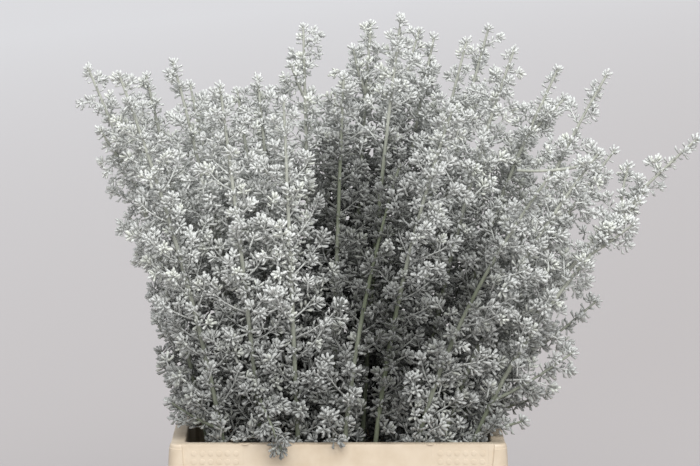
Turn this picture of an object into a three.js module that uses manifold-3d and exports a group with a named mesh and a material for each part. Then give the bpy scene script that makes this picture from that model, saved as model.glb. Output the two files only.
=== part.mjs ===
// Cut stems of pearl bluebush standing in a rectangular plastic container with water.
// Millimetres, +Z up, +X to the right and +Y away from the front. The origin is the middle of the container's
// underside.
import * as THREE from 'three';
import Module from 'manifold-3d';

const wasm = await Module();
wasm.setup();

// The container at its rim, and how far its other outlines stand inside the rim's, with a negative inset outside it.
// Between the corner posts each side's panel stands back. Near the top the inner wall stands innerWall in from the rim.
const rim = { halfX: 200, halfY: 150, height: 240 };
const postWidth = 19;
const panelRecess = 1.5;
const containerProfile = [
  { inset: 29, z: 0, corner: 15 },
  { inset: 26.5, z: 4, corner: 17 },
  { inset: 15, z: 236, corner: 9 },
  { inset: 2.5, z: 236, corner: 11 },
  { inset: -1, z: 172, corner: 13 },
  { inset: -3.5, z: 170, corner: 15, recess: panelRecess },
  { inset: 0, z: 237, corner: 13, recess: panelRecess },
  { inset: 1.5, z: rim.height, corner: 12 },
  { inset: 16.5, z: rim.height, corner: 8 },
  { inset: 18, z: 238.5, corner: 7 },
  { inset: 30, z: 8, corner: 17 },
  { inset: 33, z: 5, corner: 15 },
];
const floorTop = 5;
const innerWall = 20;
const cornerSteps = 3;

// The water, with a small gap to the plastic, and a square hole for each stem
const waterTop = 75;
const waterProfile = [
  { inset: 33.4, z: 5.4, corner: 15 },
  { inset: 30.4, z: 8.2, corner: 17 },
  { inset: 26.9, z: waterTop, corner: 16 },
];
const holeReach = 5;

// Each stem by its tip and the place where it crosses the height of the rim
const stems = [
  { name: 'leafy_stem_left_01', tip: [-299, -50, 679], rim: [-160, -60] },
  { name: 'leafy_stem_left_02', tip: [-258, -120, 677], rim: [-138, -112] },
  { name: 'leafy_stem_left_03', tip: [-232, -10, 667], rim: [-150, 0] },
  { name: 'leafy_stem_left_04', tip: [-196, -75, 688], rim: [-108, -72] },
  { name: 'leafy_stem_left_05', tip: [-181, 40, 653], rim: [-112, 20] },
  { name: 'leafy_stem_left_06', tip: [-139, -130, 664], rim: [-92, -115] },
  { name: 'leafy_stem_left_07', tip: [-124, 60, 644], rim: [-75, 45] },
  { name: 'leafy_stem_left_08', tip: [-96, -60, 668], rim: [-62, -60] },
  { name: 'leafy_stem_left_09', tip: [-64, -120, 646], rim: [-48, -115] },
  { name: 'leafy_stem_left_10', tip: [-258, 100, 629], rim: [-155, 65] },
  { name: 'leafy_stem_left_11', tip: [-167, 150, 631], rim: [-105, 100] },
  { name: 'leafy_stem_left_12', tip: [-100, 130, 631], rim: [-60, 100] },
  { name: 'leafy_stem_middle_01', tip: [-42, 0, 725], rim: [-30, -10] },
  { name: 'leafy_stem_middle_02', tip: [7, -60, 670], rim: [-5, -75] },
  { name: 'leafy_stem_middle_03', tip: [40, 30, 727], rim: [15, 10] },
  { name: 'leafy_stem_middle_04', tip: [76, -30, 739], rim: [30, -50] },
  { name: 'leafy_stem_middle_05', tip: [118, 60, 710], rim: [50, 35] },
  { name: 'leafy_stem_middle_06', tip: [156, 0, 709], rim: [70, -15] },
  { name: 'leafy_stem_middle_07', tip: [102, 140, 713], rim: [10, 105] },
  { name: 'leafy_stem_middle_08', tip: [-3, 120, 637], rim: [-20, 62] },
  { name: 'leafy_stem_middle_09', tip: [133, -150, 635], rim: [45, -118] },
  { name: 'leafy_stem_middle_10', tip: [73, -110, 568], rim: [8, -122] },
  { name: 'leafy_stem_right_01', tip: [186, 80, 720], rim: [90, 80] },
  { name: 'leafy_stem_right_02', tip: [210, -60, 701], rim: [95, -70] },
  { name: 'leafy_stem_right_03', tip: [268, 20, 673], rim: [122, 10] },
  { name: 'leafy_stem_right_04', tip: [323, -40, 671], rim: [150, -45] },
  { name: 'leafy_stem_right_05', tip: [436, 0, 589], rim: [172, 15] },
  { name: 'leafy_stem_right_06', tip: [311, -90, 582], rim: [128, -95] },
  { name: 'leafy_stem_right_07', tip: [245, -170, 559], rim: [95, -120] },
  { name: 'leafy_stem_right_08', tip: [361, -80, 523], rim: [165, -100] },
  { name: 'leafy_stem_right_09', tip: [259, 130, 632], rim: [125, 100] },
  { name: 'leafy_stem_right_10', tip: [345, 110, 565], rim: [165, 80] },
];
const footToRim = 0.8;
const footHeight = floorTop + 0.9;
const bareHeights = [waterTop + 5, 155];
const stemRadius = { foot: 3.3, rim: 3 };
// Above the rim a slim core stands for the wood and the close leaves on it
const coreRadius = { rim: 4.6, tip: 2.4, end: 1.8 };

// Long forks: the stem that each leaves, the height where it leaves it, its tip, and for a drooping one its crown
const forks = [
  { stem: 'leafy_stem_left_01', leaves: 553, tip: [-282, -95, 609] },
  { stem: 'leafy_stem_left_10', leaves: 415, tip: [-259, 60, 489] },
  { stem: 'leafy_stem_left_03', leaves: 260, tip: [-217, -10, 332] },
  { stem: 'leafy_stem_left_02', leaves: 252, tip: [-200, -112, 285] },
  { stem: 'leafy_stem_left_06', leaves: 300, tip: [-64, -170, 228], crown: [-88, -172, 290] },
  { stem: 'leafy_stem_middle_01', leaves: 639, tip: [-57, -20, 681] },
  { stem: 'leafy_stem_middle_03', leaves: 642, tip: [18, 10, 699] },
  { stem: 'leafy_stem_right_03', leaves: 593, tip: [278, 40, 636] },
  { stem: 'leafy_stem_right_05', leaves: 500, tip: [354, 12, 556] },
  { stem: 'leafy_stem_right_05', leaves: 470, tip: [370, -34, 528] },
  { stem: 'leafy_stem_right_08', leaves: 460, tip: [352, -110, 499] },
  { stem: 'leafy_stem_right_05', leaves: 300, tip: [321, 60, 383] },
  { stem: 'leafy_stem_right_08', leaves: 284, tip: [281, -90, 341] },
  { stem: 'leafy_stem_right_05', leaves: 252, tip: [257, 0, 277] },
  { stem: 'leafy_stem_right_08', leaves: 250, tip: [222, -112, 262] },
];
const forkShape = { bareShare: 0.4, bareBands: 2, radius: 2.6 };
const forkBend = 0.1;
const forkFacing = 0.4;

// Side shoots: every leafy stem carries them from just under the rim to its tip, in opposite pairs, each pair turned
// against the one below it
const leafyFrom = 228;
const bushTop = 740;
const pairStep = 71;
const pairScatter = 0.6;
const pairTurn = THREE.MathUtils.degToRad(97);
const shootAngle = { root: THREE.MathUtils.degToRad(55), end: THREE.MathUtils.degToRad(25) };
const plumeReach = { tip: 10, slope: 0.18, most: 45 };
const reachOfLength = 0.62;
const lengthScatter = 0.4;
const shorten = 0.9;
const shootShape = { bareShare: 0.36, bareBands: 1, radius: 3 };
const leafyBand = 18;
const shortestShoot = 28;
const shootSamples = 24;
const rootHeight = 6;
const tipRings = [58, 43, 29, 15];

// Leaves: narrow, felted and blunt in life, and raised here as short three-sided spikes
const leafLength = { low: 12, high: 9 };
const leafScatter = 0.3;
const leafOfBand = 1.2;
const leafLean = THREE.MathUtils.degToRad(45);

// Room that is kept free round each stem's own foliage
const clearOfOthers = 1.6;
const clearOfPlastic = 2;
const clearOfForks = 14;
const clearOfForkRoot = 24;
const clearOfShoots = 9;

// A seeded draw between 0 and 1
function draw(index, seed) {
  const value = Math.sin(index * 12.9898 + seed * 78.233) * 43758.5453;
  return value - Math.floor(value);
}

// A seeded factor around 1, for instance from 0.8 to 1.2 for a scatter of 0.4
function vary(scatter, index, seed) {
  return 1 + scatter * (draw(index, seed) - 0.5);
}

// A rounded rectangle with corner posts, anticlockwise; between the posts each side may stand back a little
function outline({ inset, z, corner, recess = 0 }, withPosts) {
  const halfX = rim.halfX - inset;
  const halfY = rim.halfY - inset;
  const points = [];
  const directions = [[1, 1], [-1, 1], [-1, -1], [1, -1]];
  directions.forEach(([signX, signY], quadrant) => {
    for (let step = 0; step <= cornerSteps; step++) {
      const angle = (quadrant + step / cornerSteps) * Math.PI / 2;
      points.push(new THREE.Vector3(
        signX * (halfX - corner) + corner * Math.cos(angle),
        signY * (halfY - corner) + corner * Math.sin(angle),
        z,
      ));
    }
    // The side that follows this corner runs along X after the first and third corner, and along Y after the others
    const alongX = quadrant % 2 === 0;
    const post = alongX
      ? Math.min(rim.halfX - postWidth, halfX - corner - 2)
      : Math.min(rim.halfY - postWidth, halfY - corner - 2);
    const stations = withPosts ? [[post, 0], [post - 1, recess], [1 - post, recess], [-post, 0]] : [];
    for (const [place, back] of stations) {
      const x = alongX ? signX * place : signX * (halfX - back);
      const y = alongX ? signY * (halfY - back) : signY * place;
      points.push(new THREE.Vector3(x, y, z));
    }
  });
  return points;
}

function centreOf(points) {
  return points.reduce((sum, point) => sum.add(point), new THREE.Vector3()).divideScalar(points.length);
}

// A closed body from outlines of equal count, one after the other, with its first and last outline closed
function loft(rings) {
  const count = rings[0].length;
  const points = rings.flat();
  const faces = [];
  for (let ring = 0; ring + 1 < rings.length; ring++) {
    for (let i = 0; i < count; i++) {
      const next = (i + 1) % count;
      const lower = ring * count;
      const upper = lower + count;
      faces.push([lower + i, lower + next, upper + next], [lower + i, upper + next, upper + i]);
    }
  }
  const first = points.push(centreOf(rings[0])) - 1;
  const last = points.push(centreOf(rings.at(-1))) - 1;
  const lastRing = (rings.length - 1) * count;
  for (let i = 0; i < count; i++) {
    const next = (i + 1) % count;
    faces.push([first, next, i], [last, lastRing + i, lastRing + next]);
  }
  return { points, faces };
}

function toGeometry({ points, faces }) {
  const geometry = new THREE.BufferGeometry().setFromPoints(points);
  geometry.setIndex(faces.flat());
  geometry.computeVertexNormals();
  return geometry;
}

function toSolid({ points, faces }) {
  const vertProperties = new Float32Array(points.flatMap((point) => point.toArray()));
  return new wasm.Manifold(new wasm.Mesh({ numProp: 3, vertProperties, triVerts: new Uint32Array(faces.flat()) }));
}

function fromSolid(solid) {
  const { vertProperties, triVerts } = solid.getMesh();
  const geometry = new THREE.BufferGeometry();
  geometry.setAttribute('position', new THREE.BufferAttribute(new Float32Array(vertProperties), 3));
  geometry.setIndex(new THREE.BufferAttribute(new Uint32Array(triVerts), 1));
  geometry.computeVertexNormals();
  return geometry;
}

// A stem's centre line: it stands in the water, and bends outward ever more towards its tip
class StemCurve extends THREE.Curve {
  constructor(stem) {
    super();
    this.tip = new THREE.Vector3(...stem.tip);
    this.rim = new THREE.Vector3(...stem.rim, rim.height);
    this.foot = new THREE.Vector3(footToRim * stem.rim[0], footToRim * stem.rim[1], 0);
  }

  pointAtHeight(z) {
    const place = (foot, atRim, tip) => {
      const lower = (atRim - foot) / rim.height;
      const upper = (tip - atRim) / (this.tip.z - rim.height);
      return foot + lower * z + (upper - lower) / this.tip.z * z * (z - rim.height);
    };
    const x = place(this.foot.x, this.rim.x, this.tip.x);
    const y = place(this.foot.y, this.rim.y, this.tip.y);
    return new THREE.Vector3(x, y, z);
  }

  shareAtHeight(z) {
    return (z - footHeight) / (this.tip.z - footHeight);
  }

  getPoint(t) {
    return this.pointAtHeight(THREE.MathUtils.lerp(footHeight, this.tip.z, t));
  }
}

// A fork's centre line: it leaves the stem steeply and bends up, or droops over its crown
function forkCurve(fork, stemCurve) {
  const root = stemCurve.pointAtHeight(fork.leaves);
  const tip = new THREE.Vector3(...fork.tip);
  const along = stemCurve.getTangent(stemCurve.shareAtHeight(fork.leaves));
  const middle = root.clone().lerp(tip, 0.5).addScaledVector(along, -forkBend * root.distanceTo(tip));
  return new THREE.QuadraticBezierCurve3(root, fork.crown ? new THREE.Vector3(...fork.crown) : middle, tip);
}

// A side shoot's centre line: it leaves the stem steeply and bends up
function shootCurve(root, along, outward, length) {
  const lean = (angle) => along.clone().multiplyScalar(Math.cos(angle)).addScaledVector(outward, Math.sin(angle));
  const middle = root.clone().addScaledVector(lean(shootAngle.root), length / 2);
  const end = middle.clone().addScaledVector(lean(shootAngle.end), length / 2);
  return new THREE.QuadraticBezierCurve3(root, middle, end);
}

// Three points round a place on a curve, anticlockwise as seen from the curve's end; turn counts from `first`
function threeAround(centre, along, first, reach, turn) {
  const sideways = first.clone().addScaledVector(along, -first.dot(along)).normalize();
  return [0, 1, 2].map((corner) => {
    const offset = sideways.clone().applyAxisAngle(along, turn + corner * 2 * Math.PI / 3);
    return centre.clone().addScaledVector(offset, reach);
  });
}

// The faces between two rings of three points, or between a ring and a single point
function bandFaces(lower, upper) {
  return lower.flatMap((a, corner) => {
    const next = (corner + 1) % 3;
    if (upper.length === 1) {
      return [[a, lower[next], upper[0]]];
    }
    return [[a, lower[next], upper[corner]], [lower[next], upper[next], upper[corner]]];
  });
}

// Where the tip of a leaf lies that stands on a face and leans along the wood; leaves are longer low in the bush
function leafTip(corners, along, index, seed) {
  const outward = new THREE.Triangle(...corners).getNormal(new THREE.Vector3());
  const foot = centreOf(corners);
  const share = THREE.MathUtils.clamp(THREE.MathUtils.inverseLerp(leafyFrom, bushTop, foot.z), 0, 1);
  const band = Math.max(corners[0].distanceTo(corners[2]), corners[1].distanceTo(corners[2]));
  const most = THREE.MathUtils.lerp(leafLength.low, leafLength.high, share) * vary(leafScatter, index, seed);
  const length = Math.min(most, leafOfBand * band);
  return foot
    .addScaledVector(outward, length * Math.sin(leafLean))
    .addScaledVector(along, length * Math.cos(leafLean));
}

// A face raised into one leaf
function raiseLeaf(body, face, along, seed) {
  const corners = face.map((index) => body.points[index]);
  const leaf = body.points.push(leafTip(corners, along, body.points.length, seed)) - 1;
  body.faces.push([face[0], face[1], leaf], [face[1], face[2], leaf], [face[2], face[0], leaf]);
}

// Faces of a stretch of stem, each raised into a leaf where a leaf has room between the shoots
function raiseWhereRoom(body, faces, along, plant, shootPoints, seed) {
  for (const face of faces) {
    const corners = face.map((index) => body.points[index]);
    const tip = leafTip(corners, along, body.points.length, seed);
    const foot = centreOf(corners);
    const places = [0, 0.5, 1].map((share) => foot.clone().lerp(tip, share));
    const clear = places.every((point) => nearest(point, shootPoints) > clearOfShoots);
    if (clear && hasRoom([tip], plant)) {
      raiseLeaf(body, face, along, seed);
    } else {
      body.faces.push(face);
    }
  }
}

// A shoot that grows out of a face of its stem: rings turned by half a side one after the other, a bare foot, and
// leaves on every face from there to its pointed end
function shootFrom(rootFace, curve, { bareShare, bareBands, radius }, seed) {
  const body = { points: rootFace.map((point) => point.clone()), faces: [] };
  const first = rootFace[0].clone().sub(centreOf(rootFace));
  const leafyBands = Math.max(2, Math.round((1 - bareShare) * curve.getLength() / leafyBand));
  const bareRings = [...Array(bareBands).keys()].map((band) => (band + 1) / bareBands * bareShare);
  const leafyRings = [...Array(leafyBands).keys()]
    .map((band) => bareShare + (band + 1) / leafyBands * (1 - bareShare));
  let lower = [0, 1, 2];
  [...bareRings, ...leafyRings].forEach((t, band) => {
    const along = curve.getTangent(t);
    const points = t < 1
      ? threeAround(curve.getPoint(t), along, first, radius, (band + 1) * Math.PI / 3)
      : [curve.getPoint(1)];
    const upper = points.map((point) => body.points.push(point) - 1);
    for (const face of bandFaces(lower, upper)) {
      if (band < bareBands) {
        body.faces.push(face);
      } else {
        raiseLeaf(body, face, along, seed);
      }
    }
    lower = upper;
  });
  return body;
}

// Where the plants' wood runs: points every few millimetres along each stem and its forks
const plants = stems.map((stem) => {
  const curve = new StemCurve(stem);
  const ownForks = forks.filter((fork) => fork.stem === stem.name)
    .map((fork) => ({ ...fork, curve: forkCurve(fork, curve) }));
  const forkPoints = ownForks.flatMap((fork) => fork.curve.getSpacedPoints(30));
  return { ...stem, curve, ownForks, forkPoints, wood: curve.getSpacedPoints(110).concat(forkPoints) };
});

function nearest(point, places) {
  return Math.sqrt(places.reduce((least, place) => Math.min(least, point.distanceToSquared(place)), Infinity));
}

// Foliage stays nearer to its own wood than to any other stem's, and clear of the container's inner wall and rim
function hasRoom(points, plant) {
  return points.every((point) => {
    const own = nearest(point, plant.wood) + clearOfOthers;
    if (plants.some((other) => other !== plant && nearest(point, other.wood) < own)) {
      return false;
    }
    const inset = innerWall + clearOfPlastic;
    const within = Math.abs(point.x) < rim.halfX - inset && Math.abs(point.y) < rim.halfY - inset;
    return within || point.z > rim.height + clearOfPlastic;
  });
}

// The short ring pair that a shoot or fork grows from, turned so that its root face looks the way that it leaves
function rootOf(plant, t, outward) {
  const { curve } = plant;
  const half = rootHeight / 2 / (curve.tip.z - footHeight);
  const reach = woodRadius(t, curve);
  const [low, high] = [t - half, t + half].map((at, level) => (
    threeAround(curve.getPoint(at), curve.getTangent(at), outward, reach, (level - 1) * Math.PI / 3)
  ));
  return { low, high };
}

// How far a stem's points stand from its centre line: bare wood below the rim, the slim core above it
function woodRadius(t, curve) {
  const bare = curve.shareAtHeight(leafyFrom);
  if (t < bare) {
    return THREE.MathUtils.lerp(stemRadius.foot, stemRadius.rim, t / bare);
  }
  const tip = 1 - tipRings[0] / curve.getLength();
  return t < tip
    ? THREE.MathUtils.lerp(coreRadius.rim, coreRadius.tip, (t - bare) / (tip - bare))
    : THREE.MathUtils.lerp(coreRadius.tip, coreRadius.end, (t - tip) / (1 - tip));
}

// Everything that grows from one stem, from low to high. Each entry is a short pair of rings with its shoots: a fork,
// or one or two side shoots, shortened until they have room
function growths(plant, seed) {
  const { curve, ownForks, forkPoints } = plant;
  const found = ownForks.map((fork) => {
    const t = curve.shareAtHeight(fork.leaves);
    const root = rootOf(plant, t, fork.curve.getPoint(forkFacing).sub(fork.curve.getPoint(0)));
    const shoot = shootFrom(rootFaces(root.low, root.high)[0], fork.curve, forkShape, seed);
    return { t, root, shoots: [{ side: 0, shoot, line: fork.curve }] };
  });
  const length = curve.getLength();
  const start = curve.getLengths()[Math.round(curve.arcLengthDivisions * curve.shareAtHeight(leafyFrom))];
  const count = Math.floor((length - start - tipRings[0]) / pairStep);
  const step = (length - start - tipRings[0]) / count;
  for (let pair = 0; pair < count; pair++) {
    const place = start + (pair + 0.5 + pairScatter * (draw(pair, seed) - 0.5)) * step;
    const t = curve.getUtoTmapping(place / length);
    if (found.some((other) => Math.abs(other.t - t) * length < clearOfForkRoot)) {
      continue;
    }
    const along = curve.getTangent(t);
    const east = new THREE.Vector3(0, 1, 0).cross(along).normalize();
    const outward = east.applyAxisAngle(along, pair * pairTurn + 2 * Math.PI * draw(seed, 0));
    const root = rootOf(plant, t, outward);
    const reach = Math.min(plumeReach.most, plumeReach.tip + plumeReach.slope * (length - place));
    const shoots = [];
    rootFaces(root.low, root.high).forEach((face, side) => {
      const away = outward.clone().multiplyScalar(side === 0 ? 1 : -1);
      let shootLength = reach / reachOfLength * vary(lengthScatter, 2 * pair + side, seed + stems.length);
      while (shootLength >= shortestShoot) {
        const line = shootCurve(curve.getPoint(t), along, away, shootLength);
        const shoot = shootFrom(face, line, shootShape, seed + pair + side);
        const places = line.getSpacedPoints(8).slice(2);
        const meetsFork = places.some((point) => nearest(point, forkPoints) < clearOfForks);
        if (!meetsFork && hasRoom(shoot.points, plant)) {
          shoots.push({ side, shoot, line });
          break;
        }
        shootLength *= shorten;
      }
    });
    if (shoots.length > 0) {
      found.push({ t, root, shoots });
    }
  }
  return found.sort((one, other) => one.t - other.t);
}

// The two opposite faces between a pair of rings that shoots grow from
function rootFaces(low, high) {
  return [[low[0], low[1], high[0]], [low[2], high[2], high[1]]];
}

// A ring's points in the order in which its first one comes next after the lower ring's first
function inStep(ring, lower, body, along) {
  const middleOf = (indices) => centreOf(indices.map((index) => body.points[index]));
  const from = body.points[lower[0]].clone().sub(middleOf(lower));
  const middle = middleOf(ring);
  const turns = ring.map((index) => {
    const to = body.points[index].clone().sub(middle);
    const turn = Math.atan2(new THREE.Vector3().crossVectors(from, to).dot(along), from.dot(to));
    return (turn + 2 * Math.PI) % (2 * Math.PI);
  });
  const first = turns.indexOf(Math.min(...turns));
  return [0, 1, 2].map((corner) => ring[(first + corner) % 3]);
}

// One leafy stem as one body: rings of three points up its wood, a shoot in the place of a face wherever one grows,
// and a leafy pointed tip
function leafyStem(plant, seed) {
  const { curve } = plant;
  const length = curve.getLength();
  const east = new THREE.Vector3(1, 0, 0);
  const body = { points: [], faces: [] };
  const addPoints = (points) => points.map((point) => body.points.push(point) - 1);
  const addRing = (t, step) => (
    addPoints(threeAround(curve.getPoint(t), curve.getTangent(t), east, woodRadius(t, curve), step * Math.PI / 3))
  );

  let lower = addRing(0, 0);
  body.faces.push([lower[0], lower[2], lower[1]]);
  bareHeights.forEach((height, index) => {
    const upper = addRing(curve.shareAtHeight(height), index + 1);
    body.faces.push(...bandFaces(lower, upper));
    lower = upper;
  });
  const grown = growths(plant, seed);
  const shootPoints = grown.flatMap(({ shoots }) => shoots)
    .flatMap(({ line }) => line.getSpacedPoints(shootSamples).slice(1));
  grown.forEach(({ t, root, shoots }, order) => {
    const along = curve.getTangent(t);
    const low = addPoints(root.low);
    const high = addPoints(root.high);
    const stretch = bandFaces(lower, inStep(low, lower, body, along));
    const leafyFaces = order === 0 ? [] : stretch.filter((face, index) => index % 2 === 0);
    body.faces.push(...stretch.filter((face) => !leafyFaces.includes(face)));
    raiseWhereRoom(body, leafyFaces, along, plant, shootPoints, seed);
    const roots = shoots.map(({ side }) => rootFaces(low, high)[side]);
    const isRoot = (face) => roots.some((rootFace) => face.every((index) => rootFace.includes(index)));
    body.faces.push(...bandFaces(low, high).filter((face) => !isRoot(face)));
    shoots.forEach(({ shoot }, number) => {
      const indices = roots[number].concat(addPoints(shoot.points.slice(3)));
      body.faces.push(...shoot.faces.map((face) => face.map((index) => indices[index])));
    });
    lower = high;
  });
  tipRings.forEach((fromEnd, step) => {
    const t = curve.getUtoTmapping(1 - fromEnd / length);
    const along = curve.getTangent(t);
    const upper = addRing(t, step);
    const stretch = bandFaces(lower, step === 0 ? inStep(upper, lower, body, along) : upper);
    raiseWhereRoom(body, stretch, along, plant, shootPoints, seed);
    lower = upper;
  });
  bandFaces(lower, addPoints([curve.getPoint(1)]))
    .forEach((face) => raiseLeaf(body, face, curve.getTangent(1), seed));
  return body;
}

// A square hole that follows a stem's lowest stretch through the water
function stemHole({ curve }) {
  const [foot, above] = [footHeight, bareHeights[0]].map((height) => curve.pointAtHeight(height));
  const below = foot.clone().lerp(above, -footHeight / (bareHeights[0] - footHeight));
  const corners = [[1, 0], [0, 1], [-1, 0], [0, -1]];
  const square = (centre) => corners.map(([x, y]) => (
    new THREE.Vector3(holeReach * x, holeReach * y, 0).add(centre)
  ));
  return toSolid(loft([square(below), square(above)]));
}

const materials = {
  plastic: new THREE.MeshStandardMaterial({ color: 0xddcbb4, roughness: 0.45, metalness: 0 }),
  water: new THREE.MeshStandardMaterial({ color: 0xb8c4c0, roughness: 0.05, metalness: 0 }),
  foliage: new THREE.MeshStandardMaterial({ color: 0x9ea09c, roughness: 0.9, metalness: 0 }),
};

const bush = new THREE.Group();

function place(name, geometry, material) {
  const mesh = new THREE.Mesh(geometry, material.clone());
  mesh.name = name;
  bush.add(mesh);
}

place('container', toGeometry(loft(containerProfile.map((shape) => outline(shape, true)))), materials.plastic);

const water = plants.map(stemHole)
  .reduce((block, hole) => block.subtract(hole), toSolid(loft(waterProfile.map((shape) => outline(shape, false)))));
place('water', fromSolid(water), materials.water);

plants.forEach((plant, index) => {
  place(plant.name, toGeometry(leafyStem(plant, index + 1)), materials.foliage);
});

export default bush;
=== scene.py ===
# Cut stems of pearl bluebush in a cream plastic crate with water.
# Everything is worked out in millimetres in the crate's own frame. The meshes are made in metres.
import math

import bpy
import numpy as np
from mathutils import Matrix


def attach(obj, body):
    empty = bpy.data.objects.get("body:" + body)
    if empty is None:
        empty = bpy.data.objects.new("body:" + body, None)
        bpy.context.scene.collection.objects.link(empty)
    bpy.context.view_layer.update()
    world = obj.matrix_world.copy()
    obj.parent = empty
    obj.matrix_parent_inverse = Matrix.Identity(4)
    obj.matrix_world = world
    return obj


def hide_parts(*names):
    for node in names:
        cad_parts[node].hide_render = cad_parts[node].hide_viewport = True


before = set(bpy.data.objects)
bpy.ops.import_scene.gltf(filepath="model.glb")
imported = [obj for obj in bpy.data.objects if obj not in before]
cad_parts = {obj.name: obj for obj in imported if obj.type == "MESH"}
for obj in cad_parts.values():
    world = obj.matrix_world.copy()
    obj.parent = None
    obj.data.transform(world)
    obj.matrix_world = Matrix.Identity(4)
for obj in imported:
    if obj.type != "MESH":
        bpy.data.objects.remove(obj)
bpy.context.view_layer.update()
mm = 0.001

# Camera: a long lens a little above the rim, looking slightly down
view = {"place": (0, -4.248, 0.983), "down": 6.83, "right": 0.196, "lens": 180.66, "sensor": 36}

cameraData = bpy.data.cameras.new("studioCamera")
cameraData.lens = view["lens"]
cameraData.sensor_width = view["sensor"]
cameraData.clip_end = 200
camera = bpy.data.objects.new("studioCamera", cameraData)
camera.location = view["place"]
camera.rotation_euler = (math.radians(90 - view["down"]), 0, math.radians(-view["right"]))
bpy.context.scene.collection.objects.link(camera)
bpy.context.scene.camera = camera
print("camera set")


def unit(vectors):
    return vectors / np.linalg.norm(vectors, axis=-1, keepdims=True)


def makePiece(name, points, faces, materials, slots=None, tones=None, sharpAngle=None):
    mesh = bpy.data.meshes.new(name)
    mesh.from_pydata((np.asarray(points) * mm).tolist(), [], faces)
    for material in materials:
        mesh.materials.append(material)
    if slots is not None:
        mesh.polygons.foreach_set("material_index", np.asarray(slots, np.int32))
    if tones is not None:  # for the bush: along a leaf, drawn at random, frost with painted shade
        layer = mesh.color_attributes.new("tone", "FLOAT_COLOR", "POINT")
        layer.data.foreach_set("color", np.asarray(tones, np.float32).ravel())
    mesh.shade_smooth()
    if sharpAngle:
        mesh.set_sharp_from_angle(angle=math.radians(sharpAngle))
    mesh.update()
    piece = bpy.data.objects.new(name, mesh)
    bpy.context.scene.collection.objects.link(piece)
    return piece


# Node helpers: an input is a plain value, or an output of another node
def newMaterial(name):
    material = bpy.data.materials.new(name)
    material.use_nodes = True
    return material, material.node_tree, material.node_tree.nodes["Principled BSDF"]


def connect(tree, value, socket):
    if isinstance(value, bpy.types.NodeSocket):
        tree.links.new(value, socket)
    else:
        socket.default_value = value


def addNode(tree, kind, inputs=None, **settings):
    node = tree.nodes.new(kind)
    for key, value in settings.items():
        setattr(node, key, value)
    for key, value in (inputs or {}).items():
        connect(tree, value, node.inputs[key])
    return node


def noise(tree, scale, detail, stretch=(1, 1, 1)):
    place = addNode(tree, "ShaderNodeTexCoord").outputs["Object"]
    placed = addNode(tree, "ShaderNodeMapping", {"Vector": place, "Scale": stretch}).outputs["Vector"]
    values = {"Vector": placed, "Scale": scale, "Detail": detail}
    return addNode(tree, "ShaderNodeTexNoise", values).outputs["Fac"]


def between(tree, share, first, second):  # two colours mixed
    node = addNode(tree, "ShaderNodeMix", data_type="RGBA")
    for socket in node.inputs:
        if socket.identifier == "Factor_Float":
            connect(tree, share, socket)
        if socket.identifier == "A_Color":
            connect(tree, first, socket)
        if socket.identifier == "B_Color":
            connect(tree, second, socket)
    return [socket for socket in node.outputs if socket.identifier == "Result_Color"][0]


def remap(tree, value, low, high, toLow, toHigh):
    return addNode(tree, "ShaderNodeMapRange", {
        "Value": value, "From Min": low, "From Max": high, "To Min": toLow, "To Max": toHigh,
    }).outputs["Result"]


def bump(tree, height, depth, strength=1):
    values = {"Height": height, "Distance": depth, "Strength": strength}
    return addNode(tree, "ShaderNodeBump", values).outputs["Normal"]


def combine(tree, operation, first, second):
    return addNode(tree, "ShaderNodeMath", {0: first, 1: second}, operation=operation).outputs[0]


def brighten(tree, value, colour):
    return addNode(tree, "ShaderNodeHueSaturation", {"Value": value, "Color": colour}).outputs["Color"]


def readTone(tree):  # each point of the bush holds how far along its leaf it is, a random draw, and frost with painted shade
    tone = addNode(tree, "ShaderNodeVertexColor", layer_name="tone").outputs["Color"]
    parts = addNode(tree, "ShaderNodeSeparateColor", {"Color": tone}).outputs
    return parts["Red"], parts["Green"], parts["Blue"]


def picked(red, green, blue):  # a colour picker's numbers as the linear light that a shader takes
    shares = [c / 255 for c in (red, green, blue)]
    return tuple(s / 12.92 if s <= 0.04045 else ((s + 0.055) / 1.055) ** 2.4 for s in shares) + (1,)


# Materials: some leaves are greener than the others, the tips of all have more frost, and painted shade
# darkens leaves
frostedLeaf = {
    "oldAndPaintedShade": picked(37, 41, 29), "young": picked(217, 219, 214), "greenish": picked(212, 216, 194),
    "frostTip": picked(226, 228, 230), "greenFrom": 0.78, "greenMost": 0.4, "tipFrom": 0.35, "tipMost": 0.22,
    "mottle": (0.88, 1.12), "felt": 900, "feltDepth": 0.0002, "feltStrength": 0.6,
    "roughness": 0.9, "sheen": 0.35,
}


def makeFrostedLeaf(name):
    material, tree, shader = newMaterial(name)
    along, drawn, frostAndPaintedShade = readTone(tree)
    green = remap(tree, drawn, frostedLeaf["greenFrom"], 1, 0, frostedLeaf["greenMost"])
    young = between(tree, green, frostedLeaf["young"], frostedLeaf["greenish"])
    # Painted shade: where the frost channel is low, the leaf takes the dark old colour
    agedAndPaintedShade = between(tree, frostAndPaintedShade, frostedLeaf["oldAndPaintedShade"], young)
    nearTip = remap(tree, along, frostedLeaf["tipFrom"], 1, 0, frostedLeaf["tipMost"])
    tipped = between(tree, combine(tree, "MULTIPLY", nearTip, frostAndPaintedShade), agedAndPaintedShade, frostedLeaf["frostTip"])
    felt = noise(tree, frostedLeaf["felt"], 4)
    value = remap(tree, combine(tree, "ADD", drawn, felt), 0.3, 1.7, *frostedLeaf["mottle"])
    tree.links.new(brighten(tree, value, tipped), shader.inputs["Base Color"])
    shader.inputs["Roughness"].default_value = frostedLeaf["roughness"]
    shader.inputs["Sheen Weight"].default_value = frostedLeaf["sheen"]
    felted = bump(tree, felt, frostedLeaf["feltDepth"], frostedLeaf["feltStrength"])
    tree.links.new(felted, shader.inputs["Normal"])
    return material


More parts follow.
